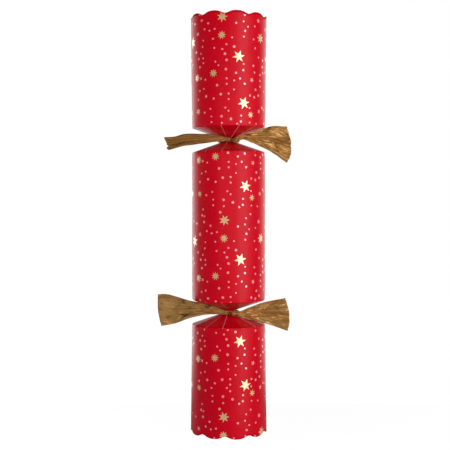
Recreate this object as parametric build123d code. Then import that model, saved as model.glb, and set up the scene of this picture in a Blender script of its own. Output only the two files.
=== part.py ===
from build123d import *
import os
from math import atan, cos, degrees, hypot, pi, sin, sqrt

# A Christmas cracker that stands on its lower rim, in millimetres.
# +Z runs up the cracker's axis, the front with the knots is -Y, and the wrapper's glued lap is at +Y.
# The origin is on the axis, level with the crests of the lower scalloped rim.
# A bearing is an angle about the axis in degrees, from the front towards +X.

# Printed card wrapper
wrapper_radius = 27.0
rim_radius = 28.0
card_thickness = 0.4
upper_handle_length = 81.8
lower_handle_length = 78.8
barrel_length = 108.6
choke_height = 17.9
throat_radius = 6.0
throat_height = 3.2
fold_radius = 1.2
tear_gap = 0.2
lap_width = 10.0
scallop_count = 10
scallop_depth = 2.0
scallop_crest_share = 0.72
scallop_flat = 0.6
rim_trim = 1.0
scallop_valley_bearing = -5.5
slit_count = 13
slit_width = 0.3
slit_margin = 2.5
slit_bearing = -12.0

# Card tubes inside the wrapper
tube_wall = 0.8
barrel_tube_clearance = 0.3
end_tube_clearance = 0.3
mouth_recess = 8.0

# Snap: two card strips, each with a friction pad, and a paper sleeve
strip_width = 8.0
strip_thickness = 0.3
strip_overlap = 36.0
strip_rise = 3.0
strip_corner_rise = 2.0
strip_bend_radius = 1.5
strip_tab_length = 22.0
strip_clearance = 0.05
pad_length = 16.0
pad_margin = 0.75
pad_thickness = 0.2
pad_gap = 0.1
sleeve_length = 26.0
sleeve_clearance = 0.1
sleeve_wall = 0.2

# Gold paper ribbons
ribbon_clearance = 0.3
loop_half_depth = 1.5
knot_radius = 2.4
knot_root_share = 0.4
upper_knot_offset = 3.0
lower_knot_offset = 0.5
tail_thickness = 0.5
tail_panels = 6
tail_pleat = 0.9
tail_root_height = 1.6
tail_end_front = 5.0
tail_end_bulge = 2.0
# Each tail's stations, from the knot outwards: distance from the axis, lower edge, upper edge
upper_left_tail = [(8.0, -1.6, 1.8), (17.0, -2.3, 3.9), (32.0, -3.7, 4.6), (45.5, -7.6, 1.9)]
upper_right_tail = [(9.0, -1.3, 1.6), (17.0, -3.9, 4.2), (30.0, -10.0, 9.6), (44.0, -16.6, 10.2)]
lower_left_tail = [(8.0, -1.2, 1.6), (17.5, -2.2, 4.0), (36.0, -6.0, 11.2), (50.5, -10.1, 13.1)]
lower_right_tail = [(9.0, -1.6, 1.3), (17.0, -3.8, 4.0), (30.0, -7.6, 9.2), (42.6, -12.8, 10.7)]

# Contents: rolled tissue hat, motto slip and spinning top
content_clearance = 0.3
hat_core_radius = 5.0
hat_leaf = 0.9
hat_turn_gap = 0.6
hat_half_turns = 8
hat_height = 62.0
hat_point_width = 6.0
hat_point_height = 7.0
motto_height = 45.0
motto_thickness = 0.25
motto_arc = 300.0
motto_lift = 6.0
top_radius = 10.5
top_rim_height = 3.0
top_rim_round = 1.0
top_belly = 5.0
top_hub_radius = 4.0
top_hub_rise = 2.5
top_hub_lift = 3.0
spindle_radius = 1.5
spindle_height = 30.0
spindle_point = 3.0
spindle_cap = 0.6
spindle_clearance = 0.05

# Heights up the axis
lower_fold = lower_handle_length
lower_neck = lower_fold + choke_height / 2
barrel_bottom = lower_fold + choke_height
barrel_top = barrel_bottom + barrel_length
upper_neck = barrel_top + choke_height / 2
upper_fold = barrel_top + choke_height
total_length = upper_fold + upper_handle_length
middle = (lower_neck + upper_neck) / 2

# The cone of a choke, from its throat to its fold
wall_radius = wrapper_radius - card_thickness
cone_rise = (choke_height - throat_height) / 2
cone_slope = cone_rise / (wrapper_radius - throat_radius)
cone_stretch = hypot(1, cone_slope)

# The snap's layers, counted from the axis
strip_face = pad_gap / 2 + pad_thickness
strip_back = strip_face + strip_thickness
sleeve_half_depth = strip_back + sleeve_clearance + sleeve_wall
sleeve_half_width = strip_width / 2 + sleeve_clearance + sleeve_wall
tab_back = sqrt((wall_radius - strip_clearance) ** 2 - (strip_width / 2) ** 2)
tab_face = tab_back - strip_thickness

# Tubes: the end tubes stand inside the snap's glued tabs, which pass under their inner ends
end_tube_radius = tab_face - strip_clearance
end_tube_inset = strip_corner_rise + strip_bend_radius + strip_thickness + end_tube_clearance
barrel_tube_radius = wall_radius - barrel_tube_clearance
chamber_radius = barrel_tube_radius - tube_wall

# The loop of a ribbon lies in the groove between two cones, and its knot stands just outside the loop
loop_radius = throat_radius + ribbon_clearance + loop_half_depth
loop_half_height = (
    (throat_height / 2 + (loop_radius - throat_radius) * cone_slope) / cone_stretch - ribbon_clearance
)
knot_reach = throat_radius + (
    (knot_radius + ribbon_clearance) * cone_stretch - throat_height / 2
) / cone_slope
tail_start_front = loop_radius + loop_half_depth + ribbon_clearance + tail_thickness

# Where the contents stand: on the lower cone, on either side of the snap
hat_step = (hat_leaf + hat_turn_gap) / 2
hat_outer_radius = hat_core_radius + (hat_half_turns - 1) * hat_step + hat_leaf
hat_centre = sleeve_half_depth + content_clearance + hat_outer_radius
top_centre = chamber_radius - content_clearance - top_radius


def cone_height(radius):
    """Height of a cone's inner face over its neck, at a distance from the axis."""
    return throat_height / 2 + (radius - throat_radius) * cone_slope + card_thickness * cone_stretch


hat_floor = lower_neck + cone_height(hat_centre + hat_outer_radius - hat_step) + content_clearance
top_floor = lower_neck + cone_height(top_centre) + content_clearance


def turned(shape, count, bearing):
    """Copies of a shape at the front, turned evenly about the axis from a first bearing."""
    return [Rot(0, 0, bearing + 360 * index / count) * shape for index in range(count)]


def revolved_card(*points):
    """Card folded along a path of (radius, height) points on its printed side, revolved."""
    printed = FilletPolyline(*points, radius=fold_radius)
    section = make_face(offset(printed, card_thickness, side=Side.LEFT))
    return revolve(Plane.XZ * section, Axis.Z)


def lap(low, low_radius, high, high_radius):
    """The second layer of card where the sheet's edges are glued at the back."""
    inside = card_thickness / 2
    section = make_face(
        Polyline(
            (low_radius - inside, low),
            (low_radius + card_thickness, low),
            (high_radius + card_thickness, high),
            (high_radius - inside, high),
            close=True,
        )
    )
    angle = degrees(lap_width / wrapper_radius)
    return Rot(0, 0, 90 - angle / 2) * revolve(Plane.XZ * section, Axis.Z, revolution_arc=angle)


def scallop_cuts():
    """Valleys of the lower rim: each is an arc between the arcs of two crests, which meet on a short flat."""
    half = rim_radius * sin(pi / scallop_count)
    bend = half - scallop_flat
    past = half + scallop_flat
    turn = 2 * atan(scallop_depth / bend)
    crest = scallop_crest_share * bend / sin(turn)
    run, rise = crest * sin(turn), crest * (1 - cos(turn))
    mid_run, mid_rise = crest * sin(turn / 2), crest * (1 - cos(turn / 2))
    below = 2 * rim_trim
    outline = make_face(
        [
            ThreePointArc((-bend, 0), (mid_run - bend, mid_rise), (run - bend, rise)),
            ThreePointArc((run - bend, rise), (0, scallop_depth), (bend - run, rise)),
            ThreePointArc((bend - run, rise), (bend - mid_run, mid_rise), (bend, 0)),
            Polyline((bend, 0), (past, 0), (past, -below), (-past, -below), (-past, 0), (-bend, 0)),
        ]
    )
    past_lap = rim_radius + 2 * card_thickness
    valley = extrude(Plane.XZ.offset(throat_radius) * outline, past_lap - throat_radius)
    return turned(valley, scallop_count, scallop_valley_bearing)


def slit_blades(neck):
    """Blades that slit both cones of a choke into petals, short of the throat and the fold."""
    inner = throat_radius + slit_margin
    outer = wrapper_radius - slit_margin
    blade = Pos(0, -(inner + outer) / 2, neck) * Box(slit_width, outer - inner, choke_height)
    return turned(blade, slit_count, slit_bearing)


def handle_wrapper(length):
    """Flared printed sleeve that stands on its scalloped rim, closed in to the throat by a slit cone."""
    neck = length + choke_height / 2
    flare = (rim_radius - wrapper_radius) / length
    blank_radius = rim_radius + flare * rim_trim
    lap_top = length - fold_radius
    card = revolved_card(
        (blank_radius, -rim_trim),
        (wrapper_radius, length),
        (throat_radius, neck - throat_height / 2),
        (throat_radius, neck - tear_gap / 2),
    )
    card += lap(-rim_trim, blank_radius, lap_top, rim_radius - flare * lap_top)
    return card - scallop_cuts() - slit_blades(neck)


def barrel_wrapper():
    """Printed sleeve of the barrel with a slit cone at each end."""
    card = revolved_card(
        (throat_radius, lower_neck + tear_gap / 2),
        (throat_radius, lower_neck + throat_height / 2),
        (wrapper_radius, barrel_bottom),
        (wrapper_radius, barrel_top),
        (throat_radius, upper_neck - throat_height / 2),
        (throat_radius, upper_neck - tear_gap / 2),
    )
    card += lap(barrel_bottom + fold_radius, wrapper_radius, barrel_top - fold_radius, wrapper_radius)
    return card - slit_blades(lower_neck) - slit_blades(upper_neck)


def upright_tube(radius, low, high):
    """A plain card tube between two heights."""
    section = Pos(radius - tube_wall / 2, (low + high) / 2) * Rectangle(tube_wall, high - low)
    return revolve(Plane.XZ * section, Axis.Z)


def upper_snap_strip():
    """Card strip that runs from the overlap through the neck to its tab on the handle's wall."""
    tab_low = upper_fold + strip_corner_rise
    face = FilletPolyline(
        (strip_face, middle - strip_overlap / 2),
        (strip_face, upper_neck + strip_rise),
        (tab_face, tab_low),
        (tab_face, tab_low + strip_tab_length),
        radius=strip_bend_radius,
    )
    section = make_face(offset(face, strip_thickness, side=Side.RIGHT))
    return extrude(Plane.YZ * section, strip_width / 2, both=True)


def upper_snap_pad():
    """Friction pad on the upper strip's face."""
    place = Pos(0, strip_face - pad_thickness / 2, middle)
    return place * Box(strip_width - 2 * pad_margin, pad_thickness, pad_length)


def snap_sleeve():
    """Flat paper sleeve around both strips where they overlap."""
    outside = Rectangle(2 * sleeve_half_width, 2 * sleeve_half_depth)
    inside = Rectangle(2 * (sleeve_half_width - sleeve_wall), 2 * (sleeve_half_depth - sleeve_wall))
    return extrude(Pos(0, 0, middle) * (outside - inside), sleeve_length / 2, both=True)


def tail_point(station, across, side, front, reach_end):
    """One point of a pleated tail: its station, its place across the width and its side."""
    reach, low, high = station
    share = across / tail_panels
    bulge = tail_end_bulge * sin(pi * share) if reach == reach_end else 0
    spread = min(1, reach / reach_end)
    pleat = tail_pleat * spread * (-1) ** across
    back = tail_start_front + (tail_end_front - tail_start_front) * spread
    return (side * (reach + bulge), front * tail_thickness / 2 - back + pleat, low + (high - low) * share)


def pleated_tail(stations, side, knot_offset):
    """One tail of a ribbon: flat panels between pleats, from inside the knot to the cut end."""
    half = tail_root_height / 2
    root = (side * knot_offset + knot_root_share * knot_radius, -half, half)
    rows = [root, *stations]
    end = stations[-1][0]
    columns = range(tail_panels + 1)
    near = [[tail_point(row, column, side, -1, end) for column in columns] for row in rows]
    far = [[tail_point(row, column, side, 1, end) for column in columns] for row in rows]

    quads = []
    for step in range(len(rows) - 1):
        for panel in range(tail_panels):
            for skin in (near, far):
                first, second = skin[step], skin[step + 1]
                quads.append((first[panel], second[panel], second[panel + 1], first[panel + 1]))
        for edge in (0, tail_panels):
            quads.append((near[step][edge], near[step + 1][edge], far[step + 1][edge], far[step][edge]))
    for row in (0, len(rows) - 1):
        for panel in range(tail_panels):
            quads.append((near[row][panel], near[row][panel + 1], far[row][panel + 1], far[row][panel]))

    corners = [corner for a, b, c, d in quads for corner in ((a, b, c), (a, c, d))]
    return Solid(Shell([Face(Wire.make_polygon(corner, close=True)) for corner in corners]))


def ribbon(neck, knot_offset, left_tail, right_tail):
    """Ribbon tied round a choke: its loop, its knot at the front and two pleated tails."""
    section = Pos(loop_radius, 0) * Ellipse(loop_half_depth, loop_half_height)
    tie = revolve(Plane.XZ * section, Axis.Z)
    tie += Pos(knot_offset, -sqrt(knot_reach**2 - knot_offset**2), 0) * Sphere(knot_radius)
    tie += pleated_tail(left_tail, -1, knot_offset)
    tie += pleated_tail(right_tail, 1, knot_offset)
    return Pos(0, 0, neck) * tie


def half_turns(extra):
    """A spiral's half-circle arcs about two centres, a leaf's thickness further out if asked."""
    arcs = []
    for index in range(hat_half_turns):
        side = 1 if index % 2 == 0 else -1
        centre = 0 if side == 1 else hat_step
        radius = hat_core_radius + index * hat_step + extra
        start = (centre + side * radius, 0)
        arcs.append(ThreePointArc(start, (centre, side * radius), (centre - side * radius, 0)))
    return arcs


def paper_hat():
    """Tissue hat folded to a band, rolled up and stood on end, with the crown's points at the top."""
    inner, outer = half_turns(0), half_turns(hat_leaf)
    starts = Line(inner[0] @ 0, outer[0] @ 0)
    ends = Line(inner[-1] @ 1, outer[-1] @ 1)
    roll = extrude(make_face([*inner, *outer, starts, ends]), hat_height)

    count = int(2 * hat_outer_radius / hat_point_width) + 2
    notch = make_face(
        Polyline(
            (-hat_point_width / 2, hat_height),
            (0, hat_height - hat_point_height),
            (hat_point_width / 2, hat_height),
            close=True,
        )
    )
    cut = extrude(Plane.XZ * notch, 2 * hat_outer_radius, both=True)
    cuts = [Pos((index - (count - 1) / 2) * hat_point_width, 0, 0) * cut for index in range(count)]
    return Pos(0, hat_centre, hat_floor) * (roll - cuts)


def motto_slip():
    """Slip of paper curled up in the core of the hat."""
    radius = hat_core_radius - content_clearance - motto_thickness / 2
    section = Pos(radius, motto_lift + motto_height / 2) * Rectangle(motto_thickness, motto_height)
    return Pos(0, hat_centre, hat_floor) * revolve(Plane.XZ * section, Axis.Z, revolution_arc=motto_arc)


def top_disc():
    """Turned wooden disc of the spinning top, bored for its spindle."""
    bore = spindle_radius + spindle_clearance
    low = top_hub_lift
    section = make_face(
        FilletPolyline(
            (bore, low),
            (top_hub_radius, low),
            (top_radius, low + top_belly),
            (top_radius, low + top_belly + top_rim_height),
            (top_hub_radius, low + top_belly + top_rim_height + top_hub_rise),
            (bore, low + top_belly + top_rim_height + top_hub_rise),
            radius=(0, 0, top_rim_round, top_rim_round, 0, 0),
            close=True,
        )
    )
    return Pos(0, -top_centre, top_floor) * revolve(Plane.XZ * section, Axis.Z)


def top_spindle():
    """Pointed wooden spindle of the spinning top."""
    section = make_face(
        Polyline(
            (0, 0),
            (spindle_radius, spindle_point),
            (spindle_radius, spindle_height - spindle_cap),
            (spindle_radius - spindle_cap, spindle_height),
            (0, spindle_height),
            close=True,
        )
    )
    return Pos(0, -top_centre, top_floor) * revolve(Plane.XZ * section, Axis.Z)


def upside_down(shape):
    """The same piece on the lower handle: a half turn about the barrel's middle, along X."""
    return Pos(0, 0, middle) * Rot(180, 0, 0) * Pos(0, 0, -middle) * shape


upper_tube_low = upper_fold + end_tube_inset
upper_tube_high = total_length - mouth_recess
lower_tube_high = lower_fold - end_tube_inset

pieces = {
    "barrel_wrapper": barrel_wrapper(),
    "upper_handle_wrapper": mirror(handle_wrapper(upper_handle_length), Plane.XY.offset(total_length / 2)),
    "lower_handle_wrapper": handle_wrapper(lower_handle_length),
    "barrel_tube": upright_tube(barrel_tube_radius, barrel_bottom + fold_radius, barrel_top - fold_radius),
    "upper_end_tube": upright_tube(end_tube_radius, upper_tube_low, upper_tube_high),
    "lower_end_tube": upright_tube(end_tube_radius, mouth_recess, lower_tube_high),
    "upper_snap_strip": upper_snap_strip(),
    "lower_snap_strip": upside_down(upper_snap_strip()),
    "upper_snap_pad": upper_snap_pad(),
    "lower_snap_pad": upside_down(upper_snap_pad()),
    "snap_sleeve": snap_sleeve(),
    "upper_ribbon": ribbon(upper_neck, upper_knot_offset, upper_left_tail, upper_right_tail),
    "lower_ribbon": ribbon(lower_neck, lower_knot_offset, lower_left_tail, lower_right_tail),
    "paper_hat": paper_hat(),
    "motto_slip": motto_slip(),
    "top_disc": top_disc(),
    "top_spindle": top_spindle(),
}

os.makedirs("parts", exist_ok=True)
for name, piece in pieces.items():
    export_step(piece, f"parts/{name}.step")
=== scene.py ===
"""Looks of a Christmas cracker: printed card, foil stars, crinkled gold ties and what is inside."""
import logging
import math
from abc import ABC, abstractmethod
from collections.abc import Sequence
from dataclasses import dataclass, field
from enum import Enum
from typing import Any

import bmesh
import bpy
import numpy as np
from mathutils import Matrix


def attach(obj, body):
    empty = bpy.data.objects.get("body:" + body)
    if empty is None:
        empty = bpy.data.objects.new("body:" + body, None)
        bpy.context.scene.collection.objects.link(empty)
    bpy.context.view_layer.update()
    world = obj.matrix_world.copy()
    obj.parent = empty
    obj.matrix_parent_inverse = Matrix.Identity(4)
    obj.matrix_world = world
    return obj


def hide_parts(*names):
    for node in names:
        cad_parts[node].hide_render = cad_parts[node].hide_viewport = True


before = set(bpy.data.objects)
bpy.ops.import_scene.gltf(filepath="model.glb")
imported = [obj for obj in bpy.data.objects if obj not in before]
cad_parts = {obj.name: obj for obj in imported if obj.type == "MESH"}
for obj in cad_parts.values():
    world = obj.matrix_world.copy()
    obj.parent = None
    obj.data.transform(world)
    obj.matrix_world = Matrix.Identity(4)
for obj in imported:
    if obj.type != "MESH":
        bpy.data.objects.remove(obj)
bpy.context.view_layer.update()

LOG = logging.getLogger("cracker")
MM = 0.001
FULL_TURN = 360.0

# Crumpled paper: how far its creases waver, in boxes of its grid, and the spare corners that this takes
CREASE_WAVER = 0.4
SPARE_CORNERS = 4

Array = np.ndarray
Colour = tuple[float, float, float, float]


def srgb(red: float, green: float, blue: float) -> Colour:
    """Linear colour of display values, by the sRGB curve.

    Args:
        red, green, blue: display values from 0 to 255.

    Returns:
        Linear red, green and blue, and an alpha of 1.
    """
    shown = np.array([red, green, blue]) / 255
    linear = np.where(shown <= 0.04045, shown / 12.92, ((shown + 0.055) / 1.055) ** 2.4)
    return (*linear.tolist(), 1.0)


def smooth_step(share: Array) -> Array:
    """The cubic 3t² - 2t³ of a share held between 0 and 1."""
    held = np.clip(share, 0, 1)
    return held * held * (3 - 2 * held)


def smooth_through(places: Array, knots: Sequence[float], values: Sequence[float]) -> Array:
    """A smooth curve through given values.

    Cubic Hermite pieces between the knots, each knot's slope being the mean gradient around it, and
    straight lines beyond the ends.

    Args:
        places: where the curve is wanted.
        knots: rising places of the given values.
        values: the value at each knot.

    Returns:
        The curve's value at each place.
    """
    at, value = np.asarray(knots, float), np.asarray(values, float)
    slope = np.gradient(value, at)
    held = np.clip(places, at[0], at[-1])
    span = np.clip(np.searchsorted(at, held) - 1, 0, len(at) - 2)
    width = at[span + 1] - at[span]
    t = (held - at[span]) / width
    start = value[span] * (1 + 2 * t) * (1 - t) ** 2 + slope[span] * width * t * (1 - t) ** 2
    end = value[span + 1] * t**2 * (3 - 2 * t) + slope[span + 1] * width * t**2 * (t - 1)
    return start + end + np.where(places > at[-1], slope[-1], slope[0]) * (places - held)


def ripple(across: Array, along: Array, waves: list[tuple[float, float, float]]) -> Array:
    """A sum of sine waves over a surface, each (waves across, waves along, phase), from -1 to 1."""
    total = sum(np.sin(2 * np.pi * (a * across + b * along + c)) for a, b, c in waves)
    return total / len(waves)


def together(*parts: Array) -> Array:
    """Arrays, spread to one shape, as the coordinates of points."""
    return np.stack(np.broadcast_arrays(*parts), axis=-1)


def folded(across: Array, along: Array, counts: tuple[int, int], draw: np.random.Generator) -> Array:
    """Heights of crumpled paper: flat three-cornered facets that meet in straight creases.

    The facets' corners are a grid with random heights, and each box of the grid has a crease from
    corner to corner. A slow waver of the places keeps the creases from lining up.

    Args:
        across, along: shares from 0 to 1.
        counts: boxes across and along.
        draw: source of the heights and of the waver.

    Returns:
        The heights, from -0.5 to 0.5.
    """
    phases = draw.random(4)
    u, v = np.broadcast_arrays(across * counts[0], along * counts[1])
    x = u + CREASE_WAVER * ripple(u, v, [(0.43, 0.31, phases[0]), (0.17, -0.52, phases[1])]) + 1
    y = v + CREASE_WAVER * ripple(u, v, [(-0.38, 0.27, phases[2]), (0.55, 0.14, phases[3])]) + 1
    heights = draw.random((counts[1] + SPARE_CORNERS, counts[0] + SPARE_CORNERS)) - 0.5
    column, row = np.floor(x).astype(int), np.floor(y).astype(int)
    right, up = x - column, y - row
    near, far = heights[row, column], heights[row + 1, column + 1]
    below = near + right * (heights[row, column + 1] - near) + up * (far - heights[row, column + 1])
    above = near + up * (heights[row + 1, column] - near) + right * (far - heights[row + 1, column])
    return np.where(right > up, below, above)


@dataclass(frozen=True)
class Value:
    """A shader socket in Python arithmetic: every operation adds a Math node."""

    recipe: "Recipe"
    socket: bpy.types.NodeSocket

    def __add__(self, other: "Value | float") -> "Value":
        """Sum."""
        return self.recipe.math("ADD", self, other)

    __radd__ = __add__

    def __sub__(self, other: "Value | float") -> "Value":
        """Difference."""
        return self.recipe.math("SUBTRACT", self, other)

    def __rsub__(self, other: float) -> "Value":
        """Difference from a number."""
        return self.recipe.math("SUBTRACT", other, self)

    def __mul__(self, other: "Value | float") -> "Value":
        """Product."""
        return self.recipe.math("MULTIPLY", self, other)

    __rmul__ = __mul__


class Recipe:
    """The node tree of one material or of the world."""

    def __init__(self, tree: bpy.types.NodeTree) -> None:
        """Starts from an empty tree."""
        self.tree = tree
        tree.nodes.clear()

    def node(self, kind: str, settings: dict[str, Any] | None = None, **given: Any) -> bpy.types.Node:
        """Adds one node.

        Args:
            kind: the node's type.
            settings: its own settings; "stops" are a colour ramp's (place, colour) pairs.
            given: values or links of its sockets, by the socket's name with _ for a space.

        Returns:
            The node.
        """
        made = self.tree.nodes.new(kind)
        for key, setting in (settings or {}).items():
            if key == "stops":
                self.set_stops(made.color_ramp, setting)
            else:
                setattr(made, key, setting)
        by_name = {s.name.replace(" ", "_"): s for s in made.inputs if s.enabled}
        sockets = by_name | {s.identifier: s for s in made.inputs}
        for key, what in given.items():
            socket = sockets[key]
            if isinstance(what, Value):
                self.tree.links.new(what.socket, socket)
            elif isinstance(what, bpy.types.Node):
                self.tree.links.new(next(s for s in what.outputs if s.enabled), socket)
            else:
                socket.default_value = what
        return made

    @staticmethod
    def set_stops(ramp: bpy.types.ColorRamp, stops: list[tuple[float, Colour]]) -> None:
        """Gives a colour ramp its stops.

        Args:
            ramp: the ramp.
            stops: a place from 0 to 1 and a colour for each stop.
        """
        while len(ramp.elements) < len(stops):
            ramp.elements.new(1.0)
        for element, (place, colour) in zip(ramp.elements, stops):
            element.position, element.color = place, colour

    def out(self, node: bpy.types.Node, name: str | None = None) -> Value:
        """A node's output by name, or its first one."""
        return Value(self, node.outputs[name] if name else next(s for s in node.outputs if s.enabled))

    def math(self, operation: str, first: Value | float, second: Value | float) -> Value:
        """Adds a Math node.

        Args:
            operation: what the node does.
            first, second: values, either of which may be a number.

        Returns:
            The result.
        """
        made = self.tree.nodes.new("ShaderNodeMath")
        made.operation = operation
        for socket, what in zip(made.inputs, (first, second)):
            if isinstance(what, Value):
                self.tree.links.new(what.socket, socket)
            else:
                socket.default_value = what
        return Value(self, made.outputs[0])

    def place(self, source: str, stretch: tuple[float, float, float] = (1, 1, 1)) -> bpy.types.Node:
        """Coordinates of a surface, stretched.

        Args:
            source: Object or UV.
            stretch: scale along each axis.

        Returns:
            A Mapping node.
        """
        coordinates = self.node("ShaderNodeTexCoord")
        return self.node("ShaderNodeMapping", Vector=self.out(coordinates, source), Scale=stretch)

    def noise(self, where: bpy.types.Node, scale: float, detail: float = 2.0) -> Value:
        """Fractal noise from 0 to 1 at coordinates."""
        return self.out(self.node("ShaderNodeTexNoise", Vector=where, Scale=scale, Detail=detail))

    def ramp(self, value: Value, stops: list[tuple[float, Colour]]) -> Value:
        """A colour ramp over a value."""
        return self.out(self.node("ShaderNodeValToRGB", {"stops": stops}, Fac=value))

    def bump(self, height: Value, distance: float, strength: float = 1.0) -> Value:
        """A surface normal from heights, in metres at full height."""
        return self.out(self.node("ShaderNodeBump", Height=height, Distance=distance, Strength=strength))

    def shade(self, **given: Any) -> None:
        """Ends the tree in one Principled shader with these sockets."""
        shader = self.node("ShaderNodeBsdfPrincipled", **given)
        self.node("ShaderNodeOutputMaterial", Surface=shader)


@dataclass(frozen=True)
class Finish(ABC):
    """A surface finish, made into a material once."""

    name: str

    def material(self) -> bpy.types.Material:
        """Makes the finish's material on first use.

        Returns:
            The material.
        """
        known = bpy.data.materials.get(self.name)
        if known:
            return known
        made = bpy.data.materials.new(self.name)
        made.use_nodes = True
        self.mix(Recipe(made.node_tree))
        return made

    @abstractmethod
    def mix(self, recipe: Recipe) -> None:
        """Builds the finish's nodes.

        Args:
            recipe: the material's empty tree.
        """


@dataclass(frozen=True)
class PrintedCard(Finish):
    """Red ink on coated card: an even ink with faint mottle, a satin lacquer and a fine tooth."""

    ink: Colour
    deep_ink: Colour
    mottle_scale: float = 90.0
    tooth_scale: float = 2400.0
    tooth_depth: float = 0.00002
    rough: float = 0.24
    gloss: float = 0.14

    def mix(self, recipe: Recipe) -> None:
        """Mottled ink under a satin lacquer.

        Args:
            recipe: the material's empty tree.
        """
        where = recipe.place("Object")
        mottle = recipe.noise(where, self.mottle_scale, detail=4.0)
        tooth = recipe.noise(where, self.tooth_scale, detail=3.0)
        recipe.shade(
            Base_Color=recipe.ramp(mottle, [(0.3, self.deep_ink), (0.7, self.ink)]),
            Roughness=self.rough + 0.05 * mottle + 0.03 * tooth,
            Specular_IOR_Level=self.gloss,
            Normal=recipe.bump(tooth, self.tooth_depth, strength=0.15),
        )


@dataclass(frozen=True)
class Paper(Finish):
    """Uncoated paper or board: long fibres in the colour and a soft tooth."""

    colour: Colour
    fibre: Colour
    fibre_scale: float
    finer_specks: float = 5.0
    fibre_depth: float = 0.00006
    rough: float = 0.85

    def mix(self, recipe: Recipe) -> None:
        """Fibres that run up the piece, and specks that are finer.

        Args:
            recipe: the material's empty tree.
        """
        fibres = recipe.noise(recipe.place("Object", (1, 1, 0.3)), self.fibre_scale, detail=5.0)
        specks = recipe.noise(recipe.place("Object"), self.finer_specks * self.fibre_scale)
        tone = 0.7 * fibres + 0.3 * specks
        recipe.shade(
            Base_Color=recipe.ramp(tone, [(0.35, self.fibre), (0.6, self.colour)]),
            Roughness=self.rough + 0.1 * specks,
            Normal=recipe.bump(fibres + 0.5 * specks, self.fibre_depth, strength=0.6),
        )


@dataclass(frozen=True)
class GoldFoil(Finish):
    """Hot-stamped gold foil: a metal leaf that is slightly brushed by the card's tooth."""

    leaf: Colour
    worn_leaf: Colour
    metal: float
    patch_scale: float = 350.0
    tooth_scale: float = 2400.0
    tooth_depth: float = 0.00002
    rough: float = 0.3
    lacquer: float = 0.85
    lacquer_index: float = 2.4
    lacquer_rough: float = 0.16

    def mix(self, recipe: Recipe) -> None:
        """Metal leaf with uneven gloss.

        Args:
            recipe: the material's empty tree.
        """
        where = recipe.place("Object")
        patches = recipe.noise(where, self.patch_scale, detail=3.0)
        tooth = recipe.noise(where, self.tooth_scale, detail=3.0)
        recipe.shade(
            Base_Color=recipe.ramp(patches, [(0.3, self.worn_leaf), (0.65, self.leaf)]),
            Metallic=self.metal,
            Roughness=self.rough + 0.12 * patches,
            Coat_Weight=self.lacquer,
            Coat_IOR=self.lacquer_index,
            Coat_Roughness=self.lacquer_rough,
            Normal=recipe.bump(tooth, self.tooth_depth, strength=0.5),
        )


@dataclass(frozen=True)
class CrinkledGold(Finish):
    """Gold-brown crepe paper with a dull metal sheen: creases pressed into its relief and darkened with
    painted shade, and a fine grain.

    The creases are given as (scale, width), and scales are in a metre of flat paper.
    """

    # Painted shade: the dark colour that the crease lines take
    crease_shade: Colour
    fold: Colour
    middle: Colour
    crest: Colour
    large_creases: tuple[float, float] = (150.0, 0.1)
    small_creases: tuple[float, float] = (420.0, 0.14)
    grain_scale: float = 1200.0
    streak_scale: float = 300.0
    speck_scale: float = 1800.0
    relief_depth: float = 0.00012
    metal: float = 0.62
    rough: float = 0.36

    @staticmethod
    def creases(recipe: Recipe, scale: float, width: float) -> Value:
        """Lines between cells that are long along the strip, where a slow noise lets them through.

        Args:
            recipe: the tree that the lines go into.
            scale: cells in a metre.
            width: the lines' width, as a share of a cell.

        Returns:
            1 in the middle of a line and 0 off it.
        """
        where = recipe.place("UV", (1, 0.4, 1))
        edges = {"feature": "DISTANCE_TO_EDGE"}
        cells = recipe.node("ShaderNodeTexVoronoi", edges, Vector=where, Scale=scale)
        line = recipe.node("ShaderNodeMapRange", Value=cells, From_Max=width, To_Min=1.0, To_Max=0.0)
        slow = recipe.noise(recipe.place("UV", (1, 0.6, 1)), 0.6 * scale)
        passed = recipe.node("ShaderNodeMapRange", Value=slow, From_Min=0.44, From_Max=0.62)
        return recipe.out(line) * recipe.out(passed)

    def mix(self, recipe: Recipe) -> None:
        """Creases, darkened with painted shade, and grain on the strip's own map, in metres of flat paper,
        with V along it.

        Args:
            recipe: the material's empty tree.
        """
        grain = recipe.noise(recipe.place("UV", (1, 0.3, 1)), self.grain_scale, detail=4.0)
        streaks = recipe.noise(recipe.place("UV", (1, 0.15, 1)), self.streak_scale, detail=3.0)
        specks = recipe.noise(recipe.place("UV"), self.speck_scale)
        large = self.creases(recipe, *self.large_creases)
        small = self.creases(recipe, *self.small_creases)
        # The crease lines dent the relief and, as painted shade, darken the colour
        crease_relief_and_shade = 0.46 * large + 0.16 * small
        tone = 0.2 * grain + 0.25 * streaks + 0.2 * specks + 0.175 - crease_relief_and_shade
        relief = 0.3 * grain + 0.2 * streaks - 2.0 * crease_relief_and_shade
        stops = [(0.05, self.crease_shade), (0.36, self.fold), (0.5, self.middle), (0.66, self.crest)]
        recipe.shade(
            Base_Color=recipe.ramp(tone, stops),
            Metallic=self.metal,
            Roughness=self.rough + 0.12 * specks,
            Normal=recipe.bump(relief, self.relief_depth, strength=0.6),
        )


@dataclass(frozen=True)
class Grit(Finish):
    """Friction pad: dark grains in a dry binder."""

    binder: Colour
    grain: Colour
    grain_scale: float = 2600.0
    grain_depth: float = 0.0001
    rough: float = 0.9

    def mix(self, recipe: Recipe) -> None:
        """Grains as fine cells.

        Args:
            recipe: the material's empty tree.
        """
        where = recipe.place("Object")
        cells = recipe.node("ShaderNodeTexVoronoi", Vector=where, Scale=self.grain_scale)
        grains = recipe.out(cells, "Distance")
        recipe.shade(
            Base_Color=recipe.ramp(grains, [(0.2, self.grain), (0.6, self.binder)]),
            Roughness=self.rough,
            Normal=recipe.bump(1 - grains, self.grain_depth, strength=0.8),
        )


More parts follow.
